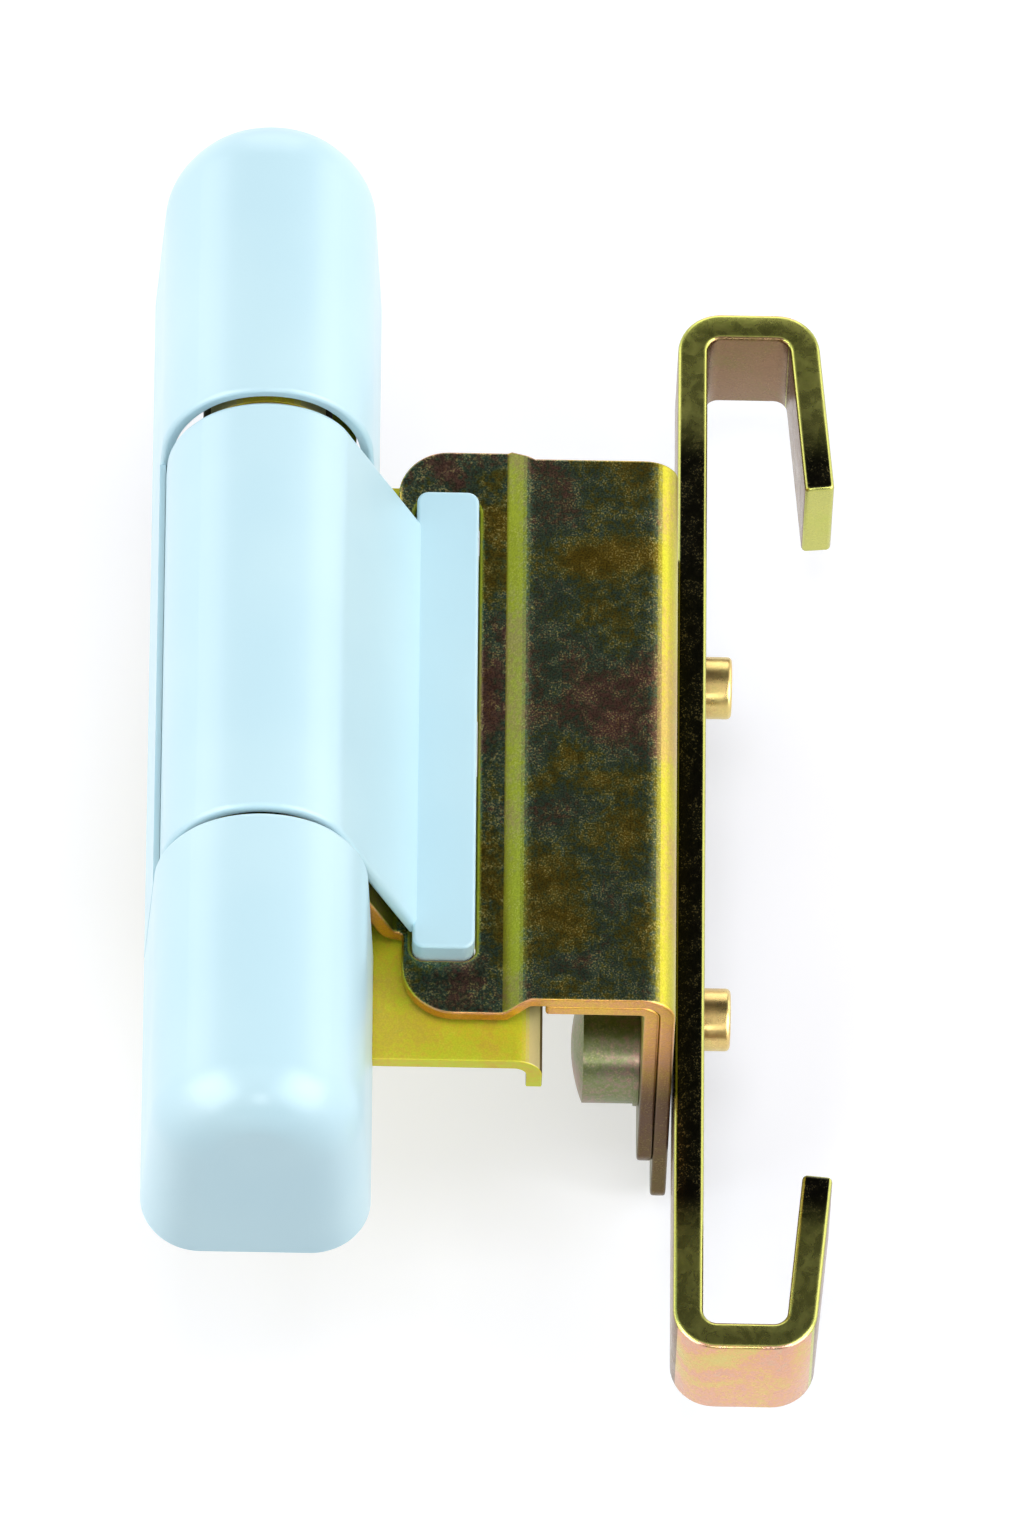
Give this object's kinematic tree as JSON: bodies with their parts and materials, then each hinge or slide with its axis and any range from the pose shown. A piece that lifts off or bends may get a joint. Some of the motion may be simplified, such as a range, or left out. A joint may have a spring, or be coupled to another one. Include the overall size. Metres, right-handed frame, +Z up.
{
  "type": "corner hinge",
  "caption": "Covered knuckle hinge for a plastic-framed door, with a slotted pressed sash leaf, a nested rear flange and a C-shaped hook bracket.",
  "frame": {"origin": "on the frame leaf's back face, straight behind the middle of the pin", "axes": "+X towards the door sash, +Y into the frame the leaf is screwed to, +Z up the pin"},
  "size_m": [0.0689, 0.067, 0.119],
  "materials": {
    "cover_plastic": "pale blue moulded plastic, satin gloss",
    "chromated_sash": "yellow iridescent chromate over zinc",
    "chromated_frame": "yellow iridescent chromate over zinc",
    "chromated_strip": "yellow iridescent chromate over zinc",
    "chromated_studs": "yellow chromate over zinc, cold-headed",
    "chromated_bush": "yellow chromate over zinc, turned",
    "pin_steel": "ground steel",
    "bearing_plastic": "natural acetal",
    "screw_brass": "turned brass"
  },
  "bodies": {
    "frame_side": {"frame_leaf": "chromated_frame", "upper_cap": "cover_plastic", "lower_cap": "cover_plastic", "back_cover": "cover_plastic", "hinge_pin": "pin_steel", "upper_frame_bush": "bearing_plastic", "lower_frame_bush": "bearing_plastic", "upper_thrust_washer": "pin_steel", "lower_thrust_washer": "pin_steel", "height_bush": "screw_brass", "height_screw": "pin_steel", "pin_grub": "pin_steel"},
    "sash_side": {"sash_leaf": "chromated_sash", "inner_angle": "chromated_sash", "middle_cover": "cover_plastic", "hook_bracket": "chromated_strip", "upper_stud": "chromated_studs", "lower_stud": "chromated_studs", "upper_sash_bush": "bearing_plastic", "lower_sash_bush": "bearing_plastic"},
    "upper_bush_body": {"upper_eccentric": "chromated_bush"},
    "lower_bush_body": {"lower_eccentric": "chromated_bush"}
  },
  "joints": [
    {"name": "sash_swing", "type": "hinge", "parent": "frame_side", "child": "sash_side", "pos_m": [0, -0.0191, 0], "axis": [0, 0, -1], "range_deg": [0, 180]},
    {"name": "upper_eccentric_turn", "type": "hinge", "parent": "sash_side", "child": "upper_bush_body", "pos_m": [0.036, 0.0195, 0.0191], "axis": [1, 0, 0], "continuous": true},
    {"name": "lower_eccentric_turn", "type": "hinge", "parent": "sash_side", "child": "lower_bush_body", "pos_m": [0.036, 0.0195, -0.0191], "axis": [1, 0, 0], "continuous": true}
  ]
}
